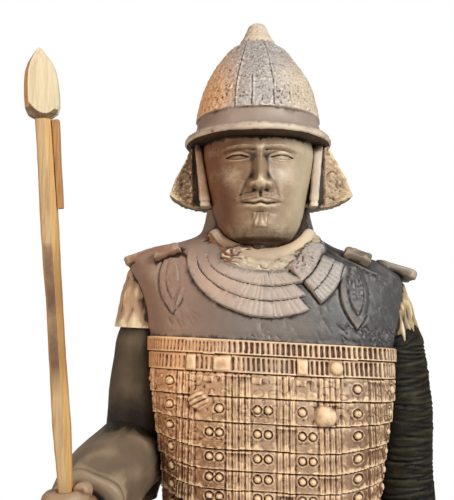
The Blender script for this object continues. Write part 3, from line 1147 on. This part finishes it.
def resampled(points, gap):
    """A profile's points at an even spacing along its straight runs, corners kept."""
    points = np.array(points, float)
    out = [points[:1]]
    for p, q in zip(points[:-1], points[1:]):
        count = max(1, round(np.linalg.norm(q - p) / gap))
        out.append(p + (q - p) * (np.arange(1, count + 1) / count)[:, None])
    return np.concatenate(out)


def rounded(points, times):
    """Softens a resampled profile, its two ends kept."""
    points = points.copy()
    for _ in range(times):
        points[1:-1] = (points[:-2] + 2 * points[1:-1] + points[2:]) / 4
    return points


profile = np.concatenate(
    [
        rounded(resampled(UNDER, 3.2), 2),
        rounded(resampled(EDGE, 1.4), 2),
        rounded(resampled(BOWL, 1.25), 14),
        rounded(resampled(KNOB, 1.25), 3),
    ]
)
half = np.concatenate([np.linspace(0, 106, 184), np.linspace(106, 180, 34)[1:]])
turn = np.radians(np.concatenate([half, 360 - half[1:-1][::-1]]))
r, z = profile[:, 0][:, None], profile[:, 1][:, None]
bowl = np.stack([HEAD_X + r * np.sin(turn), HEAD_Y - r * HELMET_DEPTH * np.cos(turn), z + 0 * turn], -1)
deg = np.degrees(np.mod(turn + math.pi, 2 * math.pi) - math.pi)[None, :] + 0 * z
z = z + 0 * deg
dome = step(z, B + 32, B + 33.5)
pits = grain(bowl, 3.4, 1) + 0.6 * grain(bowl, 2.2, 2)
lift = dome * (1.0 * grain(bowl, 28, 5) + 0.75 * pits - 0.9 * step(grain(bowl, 4.6, 7), 0.30, 0.6))
lift = lift * (1 - 0.45 * step(z, C - 38, C - 32))
# Seams between the plates of the bowl: four on the front, and one every 30 degrees behind.
below_knob = (1 - step(z, C - 42, C - 36)) * dome
ridge, cut = np.zeros(z.shape), np.zeros(z.shape)
SEAMS = [(-22.5, B + 33, C), (12.2, B + 33, C), (-7.7, B + 33, B + 84), (28.8, B + 36, B + 62)]
SEAMS += [(at, B, C) for at in (-150, -120, -90, -60, 60, 90, 120, 150, 180)]
for at, low, high in SEAMS:
    wander = np.radians(deg - at) * r + 0.9 * grain(np.stack([z, 0 * z + at, 0 * z], -1), 24, 3)
    within = step(z, low, low + 3) * (1 - step(z, high - 3, high))
    ridge += hump(wander - 2.2, 1.5) * within * (0.4 if abs(at) > 50 else 1)
    cut += hump(wander, 0.95) * within * (0.4 if abs(at) > 50 else 1)
lift = lift + below_knob * (1.5 * ridge - 1.9 * cut)
panel = step(deg, -22.5, -21.5) * (1 - step(deg, 11.5, 12.5))
lift = lift + below_knob * panel * 0.9
lift = lift - 1.4 * below_knob * hump(z - B - 48, 1.0) * (deg > -22) * (deg < -8)
for at, high in [(-14.5, 52), (-15, 79), (-30, 66), (3, 95), (18, 84), (38, 60), (20, 50)]:
    d = np.hypot(np.radians(deg - at) * r, z - B - high)
    lift = lift + below_knob * (1.8 * hump(d - 3.4, 1.1) - 0.8 * hump(d, 1.8))
band = step(z, B + 4, B + 7) * (1 - dome)
lift = lift + band * 0.5 * grain(bowl * [0.3, 0.3, 1], 5, 8) + (1 - dome) * 0.8 * grain(bowl, 24, 9)
chips = step(grain(bowl, 11, 14), 0.5, 0.8) * hump(r - 110, 5) * (z > B - 5) * (z < B + 7)
lift = lift - 1.6 * chips + 0.4 * grain(bowl, 5, 16) * hump(r - 108, 5)
lift = lift * step(r, 3, 12)
underside = (r < 108.5) & (z < B - 2) & (np.arange(len(r))[:, None] < 44)
pick = np.where(z > C - 37, 2, np.where(dome > 0.5, 0, np.where(underside, 3, 1)))
skin = bowl + outwards(bowl) * lift[..., None]
clay_form("helmet", skin, [helmet_clay, band_clay, knob_clay, under_clay], pick)

GUARD = [(72, B - 4), (101, B - 4), (138, 1596), (127, 1588), (68, 1577)]
loop_points = resampled([*GUARD, GUARD[0]], 2.6)[:-1]
bend = np.radians(np.linspace(82, 278, 130))
s, c = np.sin(bend)[:, None], -np.cos(bend)[:, None]
r, z = loop_points[:, 0][None, :], loop_points[:, 1][None, :] + 0 * s
guard = np.stack([HEAD_X + 4 * step(r, 80, 138) + r * s, HEAD_Y + r * HELMET_DEPTH * c * 0.93 + 4, z], -1)
bark = 1.5 * grain(guard, 7, 20) + 1.1 * grain(guard, 3.6, 21)
clay_form("neck guard", guard + outwards(guard) * (bark * step(r + 0 * z, 80, 90))[..., None], [guard_clay])

for side in (-1, 1):
    # The guard's end beside the face: a rough flap that faces forwards.
    rows = heights((1578, B - 3, 1.3))
    t = ((rows - 1577) / (B - 4 - 1577))[:, None]
    inner = 70 + 2 * t
    outer = np.interp(rows, [1577, 1588, 1596, 1620, 1652, B - 4], [98, 126, 137, 129, 111, 101])[:, None]
    outer = outer + side * 4
    across = np.linspace(0, 1, 44)
    x, z = inner + (outer - inner) * across, rows[:, None] + 0 * across
    front = np.stack([x, -24 + 4 * across**2 + 6 * across * (1 - t), z], -1)
    rear = np.stack([x[:, ::-1], 8 + 0 * x, z], -1)
    bark = 1.2 * grain(front, 6, 25 + side) + 1.5 * grain(front, 3.2, 27)
    bark = bark - 1.6 * hump(np.abs(grain(front, 12, 29)), 0.12)
    worked = step(front[..., 0], 97.5, 100.5)
    front[..., 1] -= bark * worked - 3.0 * (1 - worked)
    flap = np.concatenate([front, rear], 1)
    flap[..., 0] = HEAD_X + side * flap[..., 0]
    clay_form("ear flap", flap, [guard_clay])
    rows = heights((1577, B - 1, 1.6))
    t = ((rows - 1577) / (B - 1 - 1577))[:, None]
    inner, outer = (70 + 17 * t, 87 + 9 * t) if side < 0 else (75 + 8 * t, 88 + 9 * t)
    turn = np.linspace(0, 2 * math.pi, 40, endpoint=False)[None, :]
    bend = lambda v: np.sign(v) * np.abs(v) ** 0.45
    strap = np.stack(
        [
            (inner + outer) / 2 + (outer - inner) / 2 * bend(np.cos(turn)),
            -22 + 14 * bend(np.sin(turn)) + 0 * t,
            rows[:, None] + 0 * turn,
        ],
        -1,
    )
    lift = 0.5 * grain(strap, 9, 3) - 1.4 * hump(rows[:, None] - 1584, 1.4)
    strap = strap + outwards(strap) * lift[..., None]
    strap[..., 0] = HEAD_X + side * strap[..., 0]
    clay_form("cheek strap", strap, [strap_clay])


# ------------------------------------------------------------------------------------------------
# The warrior made one: every form above is worked into a single body of clay, flat under the
# soles and hollowed where the spear's shaft passes through the right hand, and then fired.

# One list of clays for all the forms, so that a join can't mix them up.
clays = []
for part in clay_parts:
    clays += [clay for clay in part.data.materials if clay not in clays]
for part in clay_parts:
    own = [clays.index(clay) for clay in part.data.materials]
    chosen = np.empty(len(part.data.polygons), np.int32)
    part.data.polygons.foreach_get("material_index", chosen)
    part.data.materials.clear()
    for clay in clays:
        part.data.materials.append(clay)
    part.data.polygons.foreach_set("material_index", np.array(own, np.int32)[chosen])

bpy.ops.object.select_all(action="DESELECT")
warrior = clay_parts[0]
others = bpy.data.collections.new("clay to be joined")
bpy.context.scene.collection.children.link(others)
for part in clay_parts[1:]:
    bpy.context.scene.collection.objects.unlink(part)
    others.objects.link(part)
bpy.context.view_layer.objects.active = warrior
warrior.select_set(True)


def worked(kind, **settings):
    """Applies a modifier to the warrior."""
    made = warrior.modifiers.new(kind.title(), kind)
    for key, value in settings.items():
        setattr(made, key, value)
    bpy.ops.object.modifier_apply(modifier=made.name)


worked("BOOLEAN", operation="UNION", solver="MANIFOLD", operand_type="COLLECTION", collection=others)
for part in list(others.objects):
    bpy.data.objects.remove(part)
bpy.data.collections.remove(others)


def shaft_rings(levels, grow=0.0):
    """The spear's shaft as rings of its chamfered section, square to the shaft, in millimetres."""
    rings = []
    for z, share in levels:
        wide, deep, cut = SHAFT_WIDE * share + 2 * grow, SHAFT_DEEP * share + 2 * grow, SHAFT_CUT * share
        middle = on_shaft(z)
        corners = [(1, -1, 0), (1, -1, 1), (1, 1, 1), (1, 1, 0)]
        corners += [(-1, 1, 0), (-1, 1, 1), (-1, -1, 1), (-1, -1, 0)]
        # The corner that faces the front on the inner side is planed off widest.
        cuts = [cut * (1.6 if (sx, sy) == (1, -1) else 0.7) for sx, sy, _ in corners]
        rings.append(
            [
                middle
                + aside_spear * sx * (wide / 2 - (0 if upright else c))
                - ahead_spear * sy * (deep / 2 - (c if upright else 0))
                for (sx, sy, upright), c in zip(corners, cuts)
            ]
        )
    return np.array(rings)


SHAFT_WIDE, SHAFT_DEEP, SHAFT_CUT, SHAFT_TOP = 20, 21, 4, 1645
TAPER = [  # share of the length, share of the full section
    (0, 0.72), (0.1, 0.78), (0.7, 0.78), (0.735, 0.91), (0.763, 1.04), (0.8, 0.96), (0.86, 0.94), (0.91, 1.02),
    (1, 0.94),
]
shaft_levels = [(BUTT[2] + (SHAFT_TOP - BUTT[2]) * t, share) for t, share in TAPER]
shaft_room = closed_skin("room for the shaft", shaft_rings(shaft_levels, GAP + 0.4), clays)
shaft_room.data.polygons.foreach_set("material_index", [clays.index(hand_clay)] * len(shaft_room.data.polygons))
worked("BOOLEAN", operation="DIFFERENCE", solver="MANIFOLD", object=shaft_room)
bpy.data.objects.remove(shaft_room)
bpy.ops.mesh.primitive_cube_add(size=1, location=(0, 0, SOLE_Z / 1000 - 0.1), scale=(0.9, 0.9, 0.2))
ground = bpy.context.object
for clay in clays:
    ground.data.materials.append(clay)
ground.data.polygons.foreach_set("material_index", [clays.index(robe_clay)] * len(ground.data.polygons))
ground.select_set(False)
bpy.context.view_layer.objects.active = warrior
warrior.select_set(True)
worked("BOOLEAN", operation="DIFFERENCE", solver="MANIFOLD", object=ground)
bpy.data.objects.remove(ground)
TRIANGLES = 193000
worked("DECIMATE", ratio=TRIANGLES / sum(len(face.vertices) - 2 for face in warrior.data.polygons))
worked("TRIANGULATE")


def surroundings(mesh, times):
    """How far each point stands above its surroundings, in metres: the mesh against its smoothed self."""
    count = len(mesh.vertices)
    points, normals = np.empty(count * 3), np.empty(count * 3)
    mesh.vertices.foreach_get("co", points)
    mesh.vertex_normals.foreach_get("vector", normals)
    points, normals = points.reshape(-1, 3), normals.reshape(-1, 3)
    edges = np.empty(len(mesh.edges) * 2, int)
    mesh.edges.foreach_get("vertices", edges)
    a, b = edges.reshape(-1, 2).T
    tally = np.maximum(np.bincount(a, minlength=count) + np.bincount(b, minlength=count), 1)
    smooth, results = points.copy(), []
    for k in range(max(times)):
        mean = np.stack(
            [np.bincount(a, smooth[b, i], count) + np.bincount(b, smooth[a, i], count) for i in range(3)], 1
        ) / tally[:, None]
        smooth = 0.5 * smooth + 0.5 * mean
        if k + 1 in times:
            results.append(((points - smooth) * normals).sum(1))
    return results


def kept_on(mesh, name, values):
    """Keeps one value from 0 to 1 for each point, for the clay's colours to read."""
    kept = mesh.attributes.new(name, "FLOAT", "POINT")
    kept.data.foreach_set("value", np.clip(values, 0, 1).astype(np.float32))


WEAR_REACH = 0.0024  # metres above the surroundings at which a place is rubbed full
near, wide = surroundings(warrior.data, (6, 60))
points = np.array([v.co for v in warrior.data.vertices]) * 1000
level = points[:, 2] + LEAN * points[:, 0]
turn = np.degrees(np.arctan2(points[:, 0] - GORGET_X, GORGET_Z - level))
in_front = (points[:, 1] < -25) * (level < 1530)
plated = gorget(points[:, 0], level, points)[1] * in_front * (1 - 0.9 * step(-turn, 55, 102))
kept_on(warrior.data, "wear", 0.5 + 0.5 * near / WEAR_REACH)
kept_on(warrior.data, "form", 0.5 + 0.5 * wide / 0.008)
kept_on(warrior.data, "laid", plated)
bpy.ops.object.shade_smooth_by_angle(angle=math.radians(58))
warrior.name = "warrior"
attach(warrior, "root")
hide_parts("warrior_figure")


# ------------------------------------------------------------------------------------------------
# Plinth: a low slab of the same clay with its corners cut off, beaten flat and fired separately.

PLINTH = (540, 450, 90)
plinth_clay = fired_clay(
    "fired clay, plinth", "#33271d", "#7c614c", "#6f5a4a", "#665549", "#a48d77", 0.55, 3.4
)
bpy.ops.object.select_all(action="DESELECT")
bpy.ops.mesh.primitive_cube_add(size=1, location=(0, 0, PLINTH[2] / 2000), scale=[size / 1000 for size in PLINTH])
plinth = bpy.context.object
bpy.ops.object.transform_apply(location=True, rotation=True, scale=True)
for edge in plinth.data.edges:
    a, b = [plinth.data.vertices[k].co for k in edge.vertices]
    edge.select = abs(a.z - b.z) > 0.05
bpy.ops.object.mode_set(mode="EDIT")
bpy.ops.mesh.select_mode(type="EDGE")
bpy.ops.object.mode_set(mode="OBJECT")
for edge in plinth.data.edges:
    a, b = [plinth.data.vertices[k].co for k in edge.vertices]
    edge.select = abs(a.z - b.z) > 0.05
bpy.ops.object.mode_set(mode="EDIT")
bpy.ops.mesh.bevel(offset=0.026, segments=1)
bpy.ops.mesh.select_all(action="SELECT")
bpy.ops.mesh.bevel(offset=0.006, segments=2)
bpy.ops.object.mode_set(mode="OBJECT")
grid = plinth.modifiers.new("Even faces", "REMESH")
grid.mode, grid.voxel_size, grid.use_smooth_shade = "VOXEL", 0.0055, True
bpy.ops.object.modifier_apply(modifier=grid.name)
points = np.array([v.co for v in plinth.data.vertices]) * 1000
beaten = 0.8 * grain(points, 60, 2) + 0.9 * grain(points, 18, 3) + 0.4 * grain(points, 8, 4)
normals = np.array([v.normal for v in plinth.data.vertices])
points += normals * (beaten - 2.2)[:, None]
points[:, 2] = np.clip(points[:, 2], 0, PLINTH[2])
points[:, 2] = np.where(points[:, 2] < 4, 0, points[:, 2])
half = np.array(PLINTH[:2]) / 2
points[:, :2] = np.clip(points[:, :2], -half, half)
plinth.data.vertices.foreach_set("co", (points / 1000).ravel())
plinth.data.update()
plinth.data.materials.append(plinth_clay)
near, wide = surroundings(plinth.data, (3, 12))
kept_on(plinth.data, "wear", 0.5 + 0.5 * near / WEAR_REACH)
kept_on(plinth.data, "form", 0.5 + 0.5 * wide / 0.012)
plinth.name = "plinth_slab"
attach(plinth, "root")
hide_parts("plinth")


# ------------------------------------------------------------------------------------------------
# Spear shaft: pale softwood, planed to a rectangle with its corners taken off, thin at the foot,
# greyed by handling in the middle. The hand closes round it, and it stands on the plinth.

UP, ASIDE, FRONT = Vector(up_spear), Vector(aside_spear), Vector(ahead_spear)


def planed_wood(name, pale, dark, gloss, grey=None, greyed=None):
    """Planed softwood: a satin face, and darker summer rings as fine streaks along the length, about
    3 mm apart. grey is the tone where hands have been, and greyed the heights where it begins, is full
    from, is full to and stops."""
    made = bpy.data.materials.new(name)
    made.use_nodes = True
    tree = made.node_tree
    tree.nodes.clear()
    place = add(tree, "TexCoord").outputs["Object"]
    tilt = tuple(Matrix((ASIDE, FRONT, UP)).to_euler())
    turned = add(tree, "Mapping", {"Vector": place, "Rotation": tilt, "Scale": (1, 1, 0.035)}).outputs[0]
    sockets = {"Vector": turned, "Scale": 330, "Detail": 3, "Roughness": 0.6}
    rings = add(tree, "TexNoise", sockets).outputs["Fac"]
    broad = add(tree, "TexNoise", {"Vector": turned, "Scale": 60, "Detail": 3}).outputs["Fac"]
    streak = add(tree, "MapRange", {"Value": rings, "From Min": 0.42, "From Max": 0.66}).outputs[0]
    tint = add(tree, "MixRGB", {"Fac": streak, "Color1": linear(pale), "Color2": linear(dark)}).outputs[0]
    tint = add(tree, "MixRGB", {"Fac": broad, "Color1": tint, "Color2": linear(pale)}).outputs[0]
    if grey:
        high = add(tree, "SeparateXYZ", {0: place}).outputs["Z"]
        low_end = add(tree, "MapRange", {"Value": high, "From Min": greyed[0], "From Max": greyed[1]}).outputs[0]
        sockets = {"Value": high, "From Min": greyed[2], "From Max": greyed[3], "To Min": 1, "To Max": 0}
        top_end = add(tree, "MapRange", sockets).outputs[0]
        worn = add(tree, "Math", {0: low_end, 1: top_end}, operation="MULTIPLY").outputs[0]
        sockets = {"Vector": place, "Scale": 22, "Detail": 4, "Roughness": 0.6}
        patch = add(tree, "TexNoise", sockets).outputs["Fac"]
        sockets = {"Value": patch, "From Min": 0.3, "From Max": 0.6, "To Min": 0.55, "To Max": 1.0}
        patchy = add(tree, "MapRange", sockets).outputs[0]
        worn = add(tree, "Math", {0: worn, 1: patchy}, operation="MULTIPLY").outputs[0]
        tint = add(tree, "MixRGB", {"Fac": worn, "Color1": tint, "Color2": linear(grey)}).outputs[0]
    relief = add(tree, "Bump", {"Height": rings, "Strength": 0.3, "Distance": 0.0006}).outputs[0]
    shader = add(tree, "BsdfPrincipled", {"Base Color": tint, "Roughness": gloss, "Normal": relief, "IOR": 1.5})
    add(tree, "OutputMaterial", {"Surface": shader.outputs[0]})
    return made


def corners_kept(piece):
    """Smooth faces that stay sharp at the planed corners."""
    bpy.ops.object.select_all(action="DESELECT")
    bpy.context.view_layer.objects.active = piece
    piece.select_set(True)
    bpy.ops.object.shade_smooth_by_angle(angle=math.radians(24))


shaft_wood = planed_wood("planed pine, shaft", "#c8a268", "#9c7038", 0.46, "#a07644", (1.31, 1.36, 1.47, 1.50))
handled_wood = planed_wood(
    "planed pine, handled front", "#c2a880", "#96754c", 0.5, "#6a5040", (1.31, 1.35, 1.487, 1.495)
)
spots = np.linspace(BUTT[2], SHAFT_TOP, 260)
levels = np.interp(spots, *np.array(shaft_levels).T)
shaft = closed_skin(
    "shaft", shaft_rings(list(zip(spots, levels))), [shaft_wood, handled_wood],
    np.tile([0, 0, 0, 0, 0, 0, 0, 1], (len(spots), 1)),
)
bpy.ops.object.select_all(action="DESELECT")
bpy.context.view_layer.objects.active = shaft
shaft.select_set(True)
eased = shaft.modifiers.new("Eased corners", "BEVEL")
eased.width, eased.segments, eased.limit_method, eased.angle_limit = 0.0008, 2, "ANGLE", math.radians(25)
bpy.ops.object.modifier_apply(modifier=eased.name)
points = np.array([v.co for v in shaft.data.vertices]) * 1000
normals = np.array([v.normal for v in shaft.data.vertices])
hewn = 0.45 * grain(points * [1, 1, 0.12], 9, 5) + 0.25 * grain(points * [1, 1, 0.3], 4, 6) - 0.4
points += normals * hewn[:, None]
points[:, 2] = np.maximum(points[:, 2], BUTT[2])
shaft.data.vertices.foreach_set("co", (points / 1000).ravel())
shaft.data.update()
corners_kept(shaft)
shaft.name = "shaft"
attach(shaft, "root")
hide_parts("spear_shaft")


# ------------------------------------------------------------------------------------------------
# Spear splint: a thin lath pinned behind the shaft's inner side to back the head's seat.

splint_wood = planed_wood("split cedar, splint", "#b98a5a", "#7d5630", 0.5)
rings = []
for t in np.linspace(0, 1, 40):
    z = SHAFT_TOP - 109 + 107.5 * t
    shaft_side = SHAFT_WIDE / 2 * np.interp(z, *np.array(shaft_levels).T) + GAP + 0.1
    far_side = shaft_side + 6.2 + 2.0 * t + 0.2 * math.sin(9 * t)
    half, deep = (far_side - shaft_side) / 2, 6.4
    at = on_shaft(z) + aside_spear * (shaft_side + half) - ahead_spear * 4
    cut = 0.7
    rings.append(
        [
            at + aside_spear * x - ahead_spear * y
            for x, y in [
                (cut - half, -deep), (half - cut, -deep), (half, cut - deep), (half, deep - cut),
                (half - cut, deep), (cut - half, deep), (-half, deep - cut), (-half, cut - deep),
            ]
        ]
    )
splint = closed_skin("splint", np.array(rings), [splint_wood])
corners_kept(splint)
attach(splint, "root")
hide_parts("spear_splint")


# ------------------------------------------------------------------------------------------------
# Spear head: carved from one block of pale wood as a thick leaf, with a flat face framed by a
# bevel, seated on the shaft's end.

HEAD_HIGH, HEAD_WIDE, HEAD_THICK = 87, 42, 23
head_wood = planed_wood("carved pale wood, spear head", "#dcd1b4", "#bcab88", 0.42)
bevel_wood = planed_wood("carved pale wood, handled edge", "#c29660", "#a07444", 0.42)
neck_wood = planed_wood("carved pale wood, soiled neck", "#7d6a52", "#4f3e2c", 0.5)
SHARES = [  # share of the height, share of the full width
    (0, 0.52), (0.05, 0.84), (0.15, 0.98), (0.32, 1), (0.5, 0.96), (0.66, 0.87), (0.79, 0.67), (0.9, 0.37),
    (1, 0.06),
]
SHARES = np.array(SHARES)
rings, picks = [], []
for t in np.linspace(0, 1, 180):
    share = float(np.interp(t, *SHARES.T))
    half, thick = HEAD_WIDE / 2 * share, HEAD_THICK / 2 * share**0.7
    # A flat face with a bevel on either side, planed back to the shaft on a curve at its foot.
    cut, far_cut = 0.3 * half, 0.16 * half
    at = on_shaft(SHAFT_TOP + GAP + 0.5 + HEAD_HIGH * t)
    faces = np.linspace(-1, 1, 25)
    foot = 0.05 + 0.17 * np.clip(0.3 - faces, 0, 2) ** 2.4 / 2 + 0.12 * np.clip(faces - 0.3, 0, 1) ** 2
    under_foot = np.clip((foot - t) / 0.1, 0, 1)
    outline = [(half, -0.45 * thick), (half, 0.45 * thick), (half - far_cut, thick), (cut - half, thick)]
    outline += [(-half, 0.45 * thick), (-half, -0.45 * thick)]
    outline += zip(cut - half + (2 * half - cut - far_cut) * (faces + 1) / 2, -thick * (1 - 0.3 * under_foot))
    rings.append([at + aside_spear * x - ahead_spear * y for x, y in outline])
    edge = 1 if t > 0.16 else 2
    picks.append([0] * 3 + [edge] * 3 + [2 if t < f else 0 for f in foot[:-1]] + [2 if t < 0.1 else 0])
spear_head = closed_skin("spear head", np.array(rings), [head_wood, bevel_wood, neck_wood], np.array(picks))
corners_kept(spear_head)
spear_head.name = "head_leaf"
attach(spear_head, "root")
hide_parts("spear_head")
